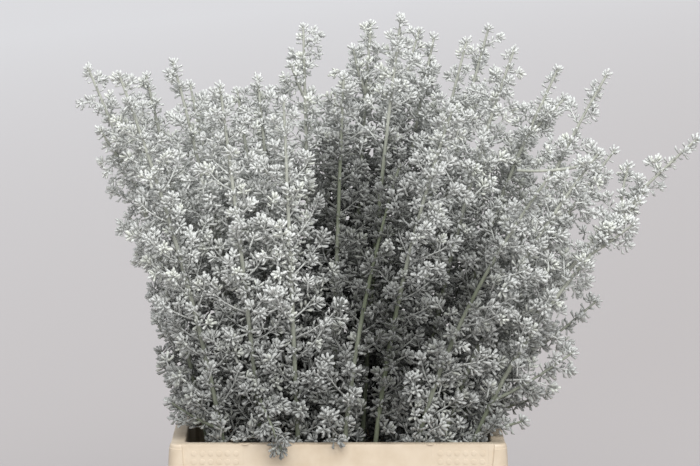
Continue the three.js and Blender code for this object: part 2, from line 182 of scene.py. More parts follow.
paleBark = {
    "shaded": picked(84, 92, 68), "open": picked(178, 180, 169), "streak": 260, "lengthwise": (1, 1, 0.12),
    "mottle": (0.8, 1.12), "streakDepth": 0.0006, "streakStrength": 0.7, "roughness": 0.75,
}


def makePaleBark(name):
    material, tree, shader = newMaterial(name)
    paleAndPaintedShade = readTone(tree)[2]
    # Painted shade: the bark takes the shaded colour where the tone's third channel holds shade
    base = between(tree, paleAndPaintedShade, paleBark["shaded"], paleBark["open"])
    streaks = noise(tree, paleBark["streak"], 4, paleBark["lengthwise"])
    value = remap(tree, streaks, 0.3, 0.7, *paleBark["mottle"])
    tree.links.new(brighten(tree, value, base), shader.inputs["Base Color"])
    shader.inputs["Roughness"].default_value = paleBark["roughness"]
    streaked = bump(tree, streaks, paleBark["streakDepth"], paleBark["streakStrength"])
    tree.links.new(streaked, shader.inputs["Normal"])
    return material


creamPlastic = {
    "cream": picked(206, 191, 169), "worn": picked(196, 179, 155), "cloud": 9, "scuff": 60,
    "wear": (0.18, 0.42), "roughness": (0.36, 0.55),
    "grain": 1400, "grainDepth": 0.00008, "grainStrength": 0.5,
}


def makeCreamPlastic(name):
    material, tree, shader = newMaterial(name)
    clouds = noise(tree, creamPlastic["cloud"], 5)
    scuffs = noise(tree, creamPlastic["scuff"], 6)
    wear = remap(tree, combine(tree, "MULTIPLY", clouds, scuffs), *creamPlastic["wear"], 0, 1)
    base = between(tree, wear, creamPlastic["cream"], creamPlastic["worn"])
    tree.links.new(base, shader.inputs["Base Color"])
    tree.links.new(remap(tree, scuffs, 0.3, 0.7, *creamPlastic["roughness"]), shader.inputs["Roughness"])
    grain = noise(tree, creamPlastic["grain"], 2)
    grained = bump(tree, grain, creamPlastic["grainDepth"], creamPlastic["grainStrength"])
    tree.links.new(grained, shader.inputs["Normal"])
    return material


stillWater = {
    "tint": picked(205, 214, 200), "bending": 1.333, "roughness": 0.03, "ripple": 38, "depth": 0.0006,
}


def makeStillWater(name):
    material, tree, shader = newMaterial(name)
    shader.inputs["Base Color"].default_value = stillWater["tint"]
    shader.inputs["Transmission Weight"].default_value = 1
    shader.inputs["IOR"].default_value = stillWater["bending"]
    shader.inputs["Roughness"].default_value = stillWater["roughness"]
    rippled = bump(tree, noise(tree, stillWater["ripple"], 2), stillWater["depth"])
    tree.links.new(rippled, shader.inputs["Normal"])
    return material


leafMaterial = makeFrostedLeaf("frostedLeaf")
barkMaterial = makePaleBark("paleBark")
plasticMaterial = makeCreamPlastic("creamPlastic")
waterMaterial = makeStillWater("stillWater")
print("materials made")

# The crate: outlines from the underside up the outside, over the rim and down to the inner floor. Each has
# how far it stands in from the rim's outer edge, its height, its corner radius, how far its panels stand back
# between the corner posts, and whether the knob pads stand back there too. A post is wider lower down. A pad
# has its places along its panel, and a panel's and a pad's edges are about a millimetre wide.
crate = {
    "halfX": 200, "halfY": 150, "height": 240, "rimWidth": 20, "cornerSteps": 9,
    "postTop": 14, "postSlope": 0.135, "postMost": 19.3, "padDepth": 0.2,
    "padX": (112, 178.3), "padY": (82, 128.3),
    "outlines": [
        (31, 0, 14, 0, 0), (28.6, 0.5, 16, 0, 0), (27, 2.4, 17, 0, 0), (26.4, 6, 17, 0, 0),
        (15, 236, 9, 0, 0), (2.8, 236, 11, 0, 0),
        (-0.6, 172, 13, 0, 0), (-1.3, 170.3, 14, 0, 0), (-2.6, 170, 15, 1.2, 0),
        (-3.9, 170.8, 15, 2, 0), (-3.9, 173, 15, 2, 0), (-3.8, 174.5, 15, 2, 0), (-3.78, 175.1, 15, 2, 1),
        (-3.74, 176, 15, 2, 1), (-0.65, 234.2, 13, 2, 1), (-0.11, 234.7, 13, 1.5, 1), (0, 237, 13, 1.5, 1),
        (0.35, 238.4, 12.8, 1.15, 0.6), (1.3, 239.6, 12.2, 0.4, 0), (2.8, 240, 11.4, 0, 0),
        (15.4, 240, 8.6, 0, 0), (17.1, 239.6, 7.9, 0, 0), (18, 238.5, 7.2, 0, 0), (18.2, 236, 7, 0, 0),
        (29.8, 10, 16, 0, 0), (30.6, 6.6, 15.4, 0, 0), (33, 5, 14, 0, 0),
    ],
}


def crateOutline(inset, z, corner, back, pad):  # anticlockwise, rounded, its panels and pads stood back
    halfX, halfY = crate["halfX"] - inset, crate["halfY"] - inset
    postIn = min(crate["postMost"], crate["postTop"] + (crate["height"] - z) * crate["postSlope"])
    points = []
    for quadrant, (signX, signY) in enumerate(((1, 1), (-1, 1), (-1, -1), (1, -1))):
        for step in range(crate["cornerSteps"] + 1):
            angle = (quadrant + step / crate["cornerSteps"]) * math.pi / 2
            points.append((
                signX * (halfX - corner) + corner * math.cos(angle),
                signY * (halfY - corner) + corner * math.sin(angle),
                z,
            ))
        alongX = quadrant % 2 == 0
        half, halfHere = (crate["halfX"], halfX) if alongX else (crate["halfY"], halfY)
        padIn, padOut = crate["padX"] if alongX else crate["padY"]
        limit = halfHere - corner - 1
        deep = back + pad * crate["padDepth"]
        marks = [
            (half - postIn, 0), (half - postIn - 1.2, back), (padOut + 0.8, back), (padOut, back),
            (padOut - 0.5, deep), (padOut - 1.5, deep), (padIn + 1.5, deep), (padIn + 0.5, deep),
            (padIn, back), (padIn - 1, back),
        ]
        marks += [(-place, depth) for place, depth in reversed(marks)]
        for index, (place, depth) in enumerate(marks):
            reach = limit - 0.4 * min(index, len(marks) - 1 - index)
            place = max(-reach, min(reach, place))
            if alongX:
                points.append((signX * place, signY * (halfY - depth), z))
            else:
                points.append((signX * (halfX - depth), signY * place, z))
    return points


def joinRings(rings):  # faces between rings of equal count, listed one after the other, and over both ends
    count = len(rings[0])
    faces = []
    for ring in range(len(rings) - 1):
        for i in range(count):
            j = (i + 1) % count
            low, high = ring * count, (ring + 1) * count
            faces.append((low + i, low + j, high + j, high + i))
    faces.append(tuple(reversed(range(count))))
    faces.append(tuple(range((len(rings) - 1) * count, len(rings) * count)))
    return faces


# The skirt leans out from the rim to its lower edge, and its panels stand back
skirt = {"low": 173, "lowOut": 3.4, "height": 64, "panelBack": 1.5}
# Rows of knobs at both ends of each side: each ring of a knob has its share of the radius and of the rise
knob = {
    "radius": 3.5, "rise": 0.42, "sides": 12, "rings": ((1, -0.6), (0.94, 0.8), (0.84, 1), (0.15, 1)),
    "gap": 10, "rows": 5, "topRow": 229, "fromPadEdge": 7.3, "columnsX": 6, "columnsY": 4,
}
# Thin lips on the rim's front and back: how far in and out each reaches, and its layers' heights and widths
tab = {
    "width": 14, "inset": (7.5, -0.5), "layers": ((239.5, 1), (240.5, 1), (240.9, 0.88)),
    "places": (-110, 0, 109), "steps": 12,
}


def skirtPoint(side, along, z, out):  # a point on a panel of the skirt; out counts from the panel's face
    leaned = (z - skirt["low"]) * skirt["lowOut"] / skirt["height"]
    inset = leaned - skirt["lowOut"] + skirt["panelBack"] - out
    if side in ("front", "back"):
        sign = -1 if side == "front" else 1
        return (-sign * along, sign * (crate["halfY"] - inset), z)
    sign = -1 if side == "left" else 1
    return (sign * (crate["halfX"] - inset), sign * along, z)


def knobBody(side, along, z):  # a low round button
    rings = []
    for reach, rise in knob["rings"]:
        rings.append([
            skirtPoint(
                side,
                along + knob["radius"] * reach * math.cos(turn),
                z + knob["radius"] * reach * math.sin(turn),
                knob["rise"] * rise - crate["padDepth"],
            )
            for turn in (2 * math.pi * i / knob["sides"] for i in range(knob["sides"]))
        ])
    return [point for ring in rings for point in ring], joinRings(rings)


def tabBody(side, along):  # a thin half round lip on the rim, its straight side inward
    sign = -1 if side == "front" else 1
    back, front = tab["inset"]
    rings = []
    for z, shrink in tab["layers"]:
        arc = []
        for i in range(tab["steps"] + 1):
            turn = math.pi * i / tab["steps"]
            reach = back - (back - front) * shrink * math.sin(turn)
            x = along - sign * tab["width"] / 2 * shrink * math.cos(turn)
            arc.append((x, sign * (crate["halfY"] - reach), z))
        rings.append(list(reversed(arc)))
    return [point for ring in rings for point in ring], joinRings(rings)


def buildCrate():
    rings = [crateOutline(*outline) for outline in crate["outlines"]]
    bodies = [([point for ring in rings for point in ring], joinRings(rings))]
    for side in ("front", "back", "left", "right"):
        axis = "X" if side in ("front", "back") else "Y"
        for column in range(knob["columns" + axis]):
            along = crate["pad" + axis][1] - knob["fromPadEdge"] - knob["gap"] * column
            for row in range(knob["rows"]):
                z = knob["topRow"] - knob["gap"] * row
                bodies += [knobBody(side, along, z), knobBody(side, -along, z)]
    for side in ("front", "back"):
        bodies += [tabBody(side, along) for along in tab["places"]]
    points, faces = [], []
    for bodyPoints, bodyFaces in bodies:
        faces += [tuple(index + len(points) for index in face) for face in bodyFaces]
        points += bodyPoints
    return makePiece("creamCrate", points, faces, [plasticMaterial], sharpAngle=35)


cratePiece = buildCrate()
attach(cratePiece, "root")
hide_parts("container")
print("crate built")

# The stems: the tip of each, and where it crosses the height of the rim
stems = {
    "left_01": ((-299, -50, 679), (-160, -60)), "left_02": ((-258, -120, 677), (-138, -112)),
    "left_03": ((-232, -10, 667), (-150, 0)), "left_04": ((-196, -75, 688), (-108, -72)),
    "left_05": ((-181, 40, 653), (-112, 20)), "left_06": ((-139, -130, 664), (-92, -115)),
    "left_07": ((-124, 60, 644), (-75, 45)), "left_08": ((-96, -60, 668), (-62, -60)),
    "left_09": ((-64, -120, 646), (-48, -115)), "left_10": ((-258, 100, 629), (-155, 65)),
    "left_11": ((-167, 150, 631), (-105, 100)), "left_12": ((-100, 130, 631), (-60, 100)),
    "middle_01": ((-42, 0, 725), (-30, -10)), "middle_02": ((7, -60, 670), (-5, -75)),
    "middle_03": ((40, 30, 727), (15, 10)), "middle_04": ((76, -30, 739), (30, -50)),
    "middle_05": ((118, 60, 710), (50, 35)), "middle_06": ((156, 0, 709), (70, -15)),
    "middle_07": ((102, 140, 713), (10, 105)), "middle_08": ((-3, 120, 637), (-20, 62)),
    "middle_09": ((133, -150, 635), (45, -118)), "middle_10": ((73, -110, 568), (8, -122)),
    "right_01": ((186, 80, 720), (90, 80)), "right_02": ((210, -60, 701), (95, -70)),
    "right_03": ((268, 20, 673), (122, 10)), "right_04": ((323, -40, 671), (150, -45)),
    "right_05": ((436, 0, 589), (172, 15)), "right_06": ((311, -90, 582), (128, -95)),
    "right_07": ((245, -170, 559), (95, -120)), "right_08": ((361, -80, 523), (165, -100)),
    "right_09": ((259, 130, 632), (125, 100)), "right_10": ((345, 110, 565), (165, 80)),
}
# Long forks: the stem, the height where each leaves it, its tip, and for the one that droops its crown
forks = [
    ("left_01", 553, (-282, -95, 609), None), ("left_10", 415, (-259, 60, 489), None),
    ("left_03", 260, (-217, -10, 332), None), ("left_02", 252, (-200, -112, 285), None),
    ("left_06", 300, (-66, -166, 234), (-88, -170, 290)), ("middle_01", 639, (-57, -20, 681), None),
    ("middle_03", 642, (18, 10, 699), None), ("right_03", 593, (278, 40, 636), None),
    ("right_05", 500, (354, 12, 556), None), ("right_05", 470, (370, -34, 528), None),
    ("right_08", 460, (352, -110, 499), None), ("right_05", 300, (321, 60, 383), None),
    ("right_08", 284, (281, -90, 341), None), ("right_05", 252, (257, 0, 277), None),
    ("right_08", 250, (222, -112, 262), None),
]
# Broken off side branches without leaves: the stem, the height where each leaves it, and its end
stubs = [("right_06", 567, (214, -100, 561))]
# Each radius is given from the foot to the tip; the bark gets paler between two heights
wood = {
    "foot": 5.9, "footToRim": 0.8, "rings": 60, "forkRings": 24, "forkBend": 0.1, "sides": 6, "twigSides": 3,
    "stemRadius": (3.4, 3.2, 2.8, 1.6), "forkRadius": (2.2, 1.3), "stubRadius": (2.1, 1.8),
    "shootRadius": (1.25, 0.8), "pale": ((260, 480), (0.5, 1)),
}
# How the shoots grow on a branch, then how the leaves grow on a shoot, and last those straight on the branch
habit = {
    "leafyFrom": 204, "forkLeafyFrom": 12, "scatter": 0.3, "rootAngle": 64, "endAngle": 34, "aimScatter": 12,
    "shootTurnScatter": 0.3, "bareTop": 10, "thinTop": 70, "thinned": 0.65, "frontThinned": 0.4,
    "facesFront": -0.12, "within": (0.1, 0.9),
    "shootEvery": 9.2, "reachAtTip": 10, "reachSlope": 0.18, "reachMost": 40, "reachOfLength": 0.74,
    "mostOfTop": 0.8, "pastTop": 8, "sideEvery": 12, "sideFrom": 0.35, "sideTo": 0.9, "sideLength": 15,
    "longFrom": 21, "longRings": 4, "shortRings": 2, "tuftEvery": 8, "tuftLength": 7,
    "bare": (0.04, 0.3), "leafEvery": 2.35, "bodyAngle": 64, "angleScatter": 8, "turnScatter": 0.2,
    "rosetteAngles": (80, 20), "rosetteLeaves": 8, "rosetteDepth": 5, "rosetteDepthMost": 0.5,
    "ownLeafEvery": 3.6, "ownThinned": 0.6, "ownThinAlong": (40, 120), "ownUpTo": 5,
    "endTuft": 9, "endTuftAlong": (4, 0.5), "endAngles": (76, 24),
}
# A leaf's width, thickness and bend are shares of its length; a ring has its place along the leaf and its
# fullness. A leaf's age goes from 0, grown first, to 1, just opened.
leaf = {
    "lowLength": 12.5, "highLength": 10, "width": 0.3, "thickness": 0.24, "bend": 0.16, "bends": (0.3, 1.5),
    "twist": 0.2, "scatter": 0.2, "stubby": 0.36,
    "fineRings": ((0.26, 0.66), (0.85, 1)), "plainRings": ((0.8, 0.97),),
    "shootAge": 0.75, "rosetteAge": (0.85, 0.15), "ownAge": 0.5, "endAge": 0.95, "fineAge": 0.6,
}
leafSlot, barkSlot = 0, 1
golden = math.radians(137.5)  # the turn from one leaf or shoot to the next
backward = np.array([0.0, 1.0, 0.0])
# What grows inside the crate keeps off its wall, and no leaf stands in the rim or close over it
clear = {"wall": 26, "pressedBelow": 8, "rootsBelow": 10, "overRim": 3, "besideRim": 4}
# A narrow cleft without leaves between the bunches: its foot and its top as (x, height), half its width, and
# how far back it goes
cleft = {"foot": (36, 238), "top": (40, 350), "half": 11, "back": -30}
# How far the main stems' shoots reach to either side: height and x
bushEdge = {
    "left": ((240, -205), (298, -208), (325, -218), (340, -232), (430, -236), (445, -400)),
    "right": (
        (240, 220), (285, 232), (295, 248), (330, 252), (336, 266), (350, 290), (356, 268), (372, 266),
        (392, 277), (398, 306), (424, 312), (436, 294), (470, 312), (484, 328), (500, 600),
    ),
}
# The crate's left front corner has no leaves: they stop at this x, y and height
bareCorner = (-160, 60, 252)
# Pockets of painted shade where the bunches shade their leaves: x, height, how wide and how high, and how
# much darker the painted shade makes the leaves and twigs, or paler, as painted light, where that is below 0
paintedShadeAndLightPockets = (
    (55, 370, 30, 120, 0.8), (122, 375, 20, 40, 0.75), (152, 432, 28, 54, 0.9), (184, 470, 20, 36, 0.5),
    (220, 540, 24, 30, 0.4), (70, 540, 34, 60, 0.45), (-55, 475, 30, 70, -0.3), (-17, 528, 20, 40, 0.6),
    (12, 463, 15, 24, 0.6), (12, 348, 13, 15, 0.6), (182, 264, 18, 26, 0.6), (154, 362, 14, 26, -0.3),
    (-150, 530, 50, 50, -0.12), (125, 640, 28, 36, 0.15),
)
# The painted shade: leavesToDark is how many leaves in the way darken a place, and above paleFrom it fades
shade = {
    "cell": 14, "leavesToDark": 19, "paleFrom": 280, "fineFrom": 0.5, "oldGreyAndLowShade": 0.46, "frostScatter": 0.06,
    "drawnScatter": 0.15, "woodDrawn": (0.4, 0.6), "seed": 77,
}
# How frosted the leaves of each bunch are by height, partly their own colour and partly painted shade lower
# down; stems that stand between others get greyer ones, as painted shade
frostAndPaintedShadeByHeight = {
    "left": ((240, 0.4), (340, 0.6), (440, 0.95)), "middle": ((240, 0.64), (440, 1)),
    "right": ((240, 0.6), (440, 0.95)),
    "right_01": ((410, 0.35), (560, 1)), "right_02": ((370, 0.4), (520, 1)),
    "middle_01": ((450, 0.3), (600, 1)),
    "middle_02": ((240, 0.6), (430, 0.7), (500, 0.25), (570, 0.25), (680, 1)),
    "middle_03": ((510, 0.15), (660, 1)), "middle_04": ((500, 0.25), (620, 1)),
    "middle_05": ((470, 0.25), (620, 1)), "middle_06": ((410, 0.35), (560, 1)),
    "middle_07": ((510, 0.25), (660, 1)), "middle_08": ((450, 0.25), (600, 1)),
    "middle_09": ((380, 0.35), (480, 0.9)),
    "middle_10": ((240, 0.6), (350, 0.7), (400, 0.2), (500, 0.2), (600, 0.6)),
}
# Stems whose front is bare between two heights, because their neighbours stand close before them
bareFronts = {
    "middle_10": (370, 500), "middle_02": (470, 560), "middle_04": (430, 640), "right_08": (240, 330),
}
# Stems with a longer airy top than the others
airyTops = {
    "right_03": 210, "right_04": 190, "right_05": 250, "right_01": 130, "middle_06": 130, "middle_01": 140,
    "left_09": 130, "left_12": 130,
}
# How long some stems' shoots are, and how close together at the back, so that no light comes through the
# bush: each as a share of what the others have
spreads = {"right_05": 0.6, "right_04": 0.8, "right_03": 0.8, "left_01": 0.8, "left_10": 0.8, "left_09": 1.25}
closeShoots = {
    "right_01": 0.8, "right_09": 0.8,
    "middle_03": 0.8, "middle_05": 0.85, "middle_07": 0.8, "middle_08": 0.85,
}
bushTop = 740


def runAlong(line):  # how far each of a polyline's points is from its start
    return np.concatenate([[0], np.cumsum(np.linalg.norm(np.diff(line, axis=0), axis=1))])


def walk(line, places):  # points and directions on a polyline, at distances from its start
    run = runAlong(line)

    def at(distance):
        return np.stack([np.interp(distance, run, line[:, axis]) for axis in range(3)], -1)

    return at(places), unit(at(places + 1.5) - at(places - 1.5))


def lineLength(line):
    return np.linalg.norm(np.diff(line, axis=0), axis=1).sum()


def stemLine(tip, atRim):  # it stands in the water, and bends outward ever more towards its tip
    z = np.linspace(wood["foot"], tip[2], wood["rings"])
    columns = []
    for end, rim in zip(tip[:2], atRim):
        foot = wood["footToRim"] * rim
        lower = (rim - foot) / crate["height"]
        upper = (end - rim) / (tip[2] - crate["height"])
        columns.append(foot + lower * z + (upper - lower) / tip[2] * z * (z - crate["height"]))
    return np.stack(columns + [z], -1)


def bend(controls, t):  # points on quadratic curves: controls (curves, 3, xyz), t (curves, places)
    a, b, c = (controls[:, None, index] for index in range(3))
    t = t[..., None]
    return a * (1 - t) ** 2 + 2 * b * t * (1 - t) + c * t ** 2


def bendDirection(controls, t):
    a, b, c = (controls[:, None, index] for index in range(3))
    t = t[..., None]
    return unit((b - a) * (1 - t) + (c - b) * t)


def forkLine(stem, height, tip, crown=None):  # steep at first, it bends up, or droops over its crown
    distance = np.interp(height, stem[:, 2], runAlong(stem))
    root, along = walk(stem, np.array([distance]))
    tip = np.array(tip, float)
    middle = (root[0] + tip) / 2 - wood["forkBend"] * np.linalg.norm(tip - root[0]) * along[0]
    controls = np.array([[root[0], crown if crown else middle, tip]])
    return bend(controls, np.linspace(0, 1, wood["forkRings"])[None])[0]


def turned(along, start, angle):  # start made square to each direction, then turned about it
    side = unit(start - (start * along).sum(-1, keepdims=True) * along)
    across = np.cross(along, side)
    return side * np.cos(angle)[..., None] + across * np.sin(angle)[..., None]


def inCrateWall(points):  # inside the rim or the wall under it
    x, y, z = np.abs(points[..., 0]), np.abs(points[..., 1]), points[..., 2]
    past = (x > crate["halfX"] - crate["rimWidth"]) | (y > crate["halfY"] - crate["rimWidth"])
    within = (x < crate["halfX"] + clear["besideRim"]) & (y < crate["halfY"] + clear["besideRim"])
    return past & within & (z < crate["height"] + clear["overRim"])


def stamp(points, faces):  # many copies of one body: points (copies, points, xyz)
    copies, count = points.shape[:2]
    starts = np.arange(copies)[:, None, None] * count
    return points.reshape(-1, 3), (faces[None] + starts).reshape(-1, 3)


def tubes(centres, along, start, radii, sides):  # one pointed tube a row: centres (tubes, rings, xyz)
    count, rings = centres.shape[:2]
    turns = np.arange(sides) * 2 * math.pi / sides
    offsets = turned(along[:, :, None], start[:, None, None], np.broadcast_to(turns, (count, rings, sides)))
    walls = centres[:, :, None] + offsets * radii[..., None, None]
    tips = centres[:, -1:] + along[:, -1:] * radii[:, -1:, None] * 2
    points = np.concatenate([walls.reshape(count, rings * sides, 3), tips], 1)
    faces = []
    for ring in range(rings - 1):
        for i in range(sides):
            j = (i + 1) % sides
            low, high = ring * sides, (ring + 1) * sides
            faces += [(low + i, low + j, high + j), (low + i, high + j, high + i)]
    last = (rings - 1) * sides
    faces += [(last + i, last + (i + 1) % sides, rings * sides) for i in range(sides)]
    faces += [(0, i + 1, i) for i in range(1, sides - 1)]
    return stamp(points, np.array(faces))


def pastEdge(points):  # beyond the bush's edge at either side
    x, z = points[..., 0], points[..., 2]
    return (x < np.interp(z, *zip(*bushEdge["left"]))) | (x > np.interp(z, *zip(*bushEdge["right"])))


def inBareCorner(points):  # the crate's inside shows at its left front corner
    x, y, z = points[..., 0], points[..., 1], points[..., 2]
    return (x < bareCorner[0]) & (y < bareCorner[1]) & (z < bareCorner[2])


def inCleft(points):  # it narrows towards its top
    x, y, z = points[..., 0], points[..., 1], points[..., 2]
    (lowX, lowZ), (highX, highZ) = cleft["foot"], cleft["top"]
    share = (z - lowZ) / (highZ - lowZ)
    middle = lowX + (highX - lowX) * share
    return (np.abs(x - middle) < cleft["half"] * np.sqrt(np.clip(1 - share, 0, 1))) & (y < cleft["back"])


def leafBodies(roots, along, outward, angle, age, rings, rng):
    # Narrow leaves, broadest near their blunt ends, flat above and keeled below. Each is a point, rings of
    # three points and a tip.
    count = len(roots)
    heightShare = np.clip((roots[:, 2] - habit["leafyFrom"]) / (bushTop - habit["leafyFrom"]), 0, 1)
    length = leaf["lowLength"] + (leaf["highLength"] - leaf["lowLength"]) * heightShare
    length *= 1 + rng.uniform(-1, 1, count) * leaf["scatter"]
    half, keel = length * leaf["width"] / 2, length * leaf["thickness"]
    length *= 1 - leaf["stubby"] * age ** 8
    forward = along * np.cos(angle)[:, None] + outward * np.sin(angle)[:, None]
    upper = along * np.sin(angle)[:, None] - outward * np.cos(angle)[:, None]
    across = np.cross(upper, forward)
    bow = leaf["bend"] * rng.uniform(*leaf["bends"], count)
    twist = rng.normal(0, leaf["twist"], count)
    across, upper = (
        across * np.cos(twist)[:, None] + upper * np.sin(twist)[:, None],
        upper * np.cos(twist)[:, None] - across * np.sin(twist)[:, None],
    )
    rows = [roots[:, None]]
    for share, full in rings:
        centre = roots + (forward * share + upper * (bow * share ** 2)[:, None]) * length[:, None]
        wide, deep = across * (half * full)[:, None], upper * (keel * full)[:, None]
        rows.append(np.stack([centre + wide, centre - wide, centre - deep], 1))
    rows.append((roots + (forward + upper * bow[:, None]) * length[:, None])[:, None])
    points = np.concatenate(rows, 1)
    last = 3 * len(rings) - 2
    faces = []
    for i, j in ((0, 1), (1, 2), (2, 0)):
        faces += [(0, 1 + j, 1 + i), (last + i, last + j, last + 3)]
        for low in range(1, last, 3):
            faces += [(low + i, low + j, low + 3 + j), (low + i, low + 3 + j, low + 3 + i)]
    partsAlong = [0] + [share for share, full in rings for corner in range(3)] + [1]
    return points, np.array(faces), partsAlong


def shootCurves(root, along, outward, length, rng):  # each leaves its branch widely and curves up beside it
    controls = [root]
    for angle in (habit["rootAngle"], habit["endAngle"]):
        aims = rng.uniform(-habit["aimScatter"], habit["aimScatter"], len(root))
        angles = np.radians(angle + aims)[:, None]
        step = along * np.cos(angles) + outward * np.sin(angles)
        controls.append(controls[-1] + step * length[:, None] / 2)
    controls = np.stack(controls, 1)
    halves = crate["halfX"] - crate["rimWidth"], crate["halfY"] - crate["rimWidth"]
    inside = (np.abs(root) < (*halves, crate["height"] + clear["rootsBelow"])).all(1)
    low = inside[:, None] & (controls[..., 2] < crate["height"] + clear["pressedBelow"])
    for axis, half in enumerate((crate["halfX"], crate["halfY"])):  # kept inside the crate's wall
        pressed = np.clip(controls[..., axis], clear["wall"] - half, half - clear["wall"])
        controls[..., axis] = np.where(low, pressed, controls[..., axis])
    return controls


def shootsOn(line, start, name, rng):  # long shoots, short tufts, and side shoots on the long ones
    length = lineLength(line)

    def allRound(along):
        firstTurn, scatter = rng.uniform(0, 7), rng.normal(0, habit["shootTurnScatter"], len(along))
        return turned(along, backward, golden * np.arange(len(along)) + firstTurn + scatter)

    curves, lengths = [], []
    for gap, tuft in ((habit["shootEvery"], False), (habit["tuftEvery"], True)):
        count = max(3, int((length - start) / (gap * closeShoots.get(name, 1))))
        share = np.arange(count) + rng.uniform(*habit["within"], count)
        place = start + share * (length - start - habit["bareTop"]) / count
        thinned = np.interp(length - place, [0, airyTops.get(name, habit["thinTop"])], [habit["thinned"], 0])
        place = place[rng.uniform(0, 1, count) > thinned]
        count = len(place)
        reach = np.minimum(habit["reachMost"], habit["reachAtTip"] + habit["reachSlope"] * (length - place))
        shoot = habit["tuftLength"] if tuft else spreads.get(name, 1) * reach / habit["reachOfLength"]
        shoot = shoot * (1 + rng.uniform(-1, 1, count) * habit["scatter"])
        shoot = np.minimum(shoot, habit["mostOfTop"] * (length - place) + habit["pastTop"])
        root, along = walk(line, place)
        curves.append(shootCurves(root, along, allRound(along), shoot, rng))
        lengths.append(shoot)
    number = (lengths[0] * (1 - habit["sideFrom"]) / habit["sideEvery"]).astype(int)
    owner = np.repeat(np.arange(len(number)), number)
    order = np.arange(len(owner)) - np.repeat(np.cumsum(number) - number, number)
    share = order + rng.uniform(*habit["within"], len(owner))
    t = habit["sideFrom"] + (habit["sideTo"] - habit["sideFrom"]) * share / number[owner]
    root = bend(curves[0][owner], t[:, None])[:, 0]
    along = bendDirection(curves[0][owner], t[:, None])[:, 0]
    side = habit["sideLength"] * (1 + rng.uniform(-1, 1, len(owner)) * habit["scatter"])
    curves.append(shootCurves(root, along, allRound(along), side, rng))
    lengths.append(side)
    return np.concatenate(curves), np.concatenate(lengths)


def thinOut(curves, lengths, name, isFork, rng):
    # Drops the shoots in the wall, in a gap or past the edge, and some of those that face the front
    bareFront = bareFronts.get(name, (0, 0))
    places = bend(curves, np.broadcast_to(np.linspace(0, 1, 4), (len(curves), 4)))
    facesFront = (curves[:, 1] - curves[:, 0])[:, 1] < habit["facesFront"] * lengths
    inBareFront = (curves[:, 0, 2] > bareFront[0]) & (curves[:, 0, 2] < bareFront[1])
    bared = facesFront & (inBareFront | (rng.uniform(0, 1, len(curves)) < habit["frontThinned"]))
    drop = inCrateWall(places).any(1) | inCleft(places).any(1) | inBareCorner(places).any(1) | bared
    if not isFork:
        drop |= pastEdge(places).any(1)
    return curves[~drop], lengths[~drop]


def makeTwigs(curves, lengths):  # shoots as thin tubes
    thick, thin = wood["shootRadius"]
    start = np.broadcast_to(backward, (len(curves), 3))
    isLong = lengths > habit["longFrom"]
    twigs = []
    for some, rings in ((isLong, habit["longRings"]), (~isLong, habit["shortRings"])):
        shares = np.broadcast_to(np.linspace(0, 1, rings), (some.sum(), rings))
        centres, along = bend(curves[some], shares), bendDirection(curves[some], shares)
        twigs.append(tubes(centres, along, start[some], thick + (thin - thick) * shares, wood["twigSides"]))
    return twigs


def leavesOnShoots(curves, lengths, rng):  # along each shoot, and denser in a rosette at its end
    side = np.broadcast_to(backward, (len(curves), 3))
    bare, most = rng.uniform(*habit["bare"], len(curves)), habit["rosetteLeaves"]
    depth = np.minimum(habit["rosetteDepthMost"], habit["rosetteDepth"] / lengths)
    body = np.maximum(1, (lengths * (1 - bare - depth) / habit["leafEvery"]).astype(int))
    number = body + most
    owner = np.repeat(np.arange(len(number)), number)
    order = np.arange(len(owner)) - np.repeat(np.cumsum(number) - number, number)
    share = (order + 0.5) / body[owner]
    inRosette = (order - body[owner] + 0.5) / most
    late = inRosette > 0
    t = np.where(late, 1 - depth[owner] * (1 - inRosette), bare[owner] + (1 - bare - depth)[owner] * share)
    roots = bend(curves[owner], t[:, None])[:, 0]
    directions = bendDirection(curves[owner], t[:, None])[:, 0]
    turns = golden * order + owner + rng.normal(0, habit["turnScatter"], len(order))
    outward = turned(directions, side[owner], turns)
    wide, narrow = habit["rosetteAngles"]
    angle = np.where(late, wide + (narrow - wide) * inRosette, habit["bodyAngle"])
    angle = np.radians(angle + rng.normal(0, habit["angleScatter"], len(angle)))
    ageFrom, ageMore = leaf["rosetteAge"]
    age = np.where(late, ageFrom + ageMore * inRosette, leaf["shootAge"] * share)
    return roots, directions, outward, angle, age, owner


def leavesOnBranch(line, start, rng):  # few along it, and a tuft at its end
    length = lineLength(line)
    places = np.arange(start, length - habit["ownUpTo"], habit["ownLeafEvery"])
    fewer = np.interp(length - places, habit["ownThinAlong"], [0, habit["ownThinned"]])
    places = places[rng.uniform(0, 1, len(places)) > fewer]
    places = np.concatenate([places, length - np.linspace(*habit["endTuftAlong"], habit["endTuft"])])
    roots, along = walk(line, places)
    outward = turned(along, backward, golden * np.arange(len(places)))
    angle = np.radians(np.interp(places, [length - habit["endTuftAlong"][0], length], habit["endAngles"]))
    age = np.where(places > length - habit["ownUpTo"], leaf["endAge"], leaf["ownAge"])
    return roots, along, outward, angle, age


def dress(line, start, name, isFork, rng):  # a branch's twigs, and where and how its leaves grow
    curves, lengths = thinOut(*shootsOn(line, start, name, rng), name, isFork, rng)
    *onShoots, owner = leavesOnShoots(curves, lengths, rng)
    onBranch = leavesOnBranch(line, start, rng)
    drawn = np.concatenate([rng.uniform(0, 1, len(curves))[owner], np.full(len(onBranch[0]), 0.5)])
    roots, along, outward, angle, age = (np.concatenate(pair) for pair in zip(onShoots, onBranch))
    forward = along * np.cos(angle)[:, None] + outward * np.sin(angle)[:, None]
    reach = roots + leaf["lowLength"] * forward
    keep = ~(inCleft(roots) | inCrateWall(roots) | inCrateWall(reach) | inBareCorner(reach))
    return makeTwigs(curves, lengths), [item[keep] for item in (roots, along, outward, angle, age, drawn)]


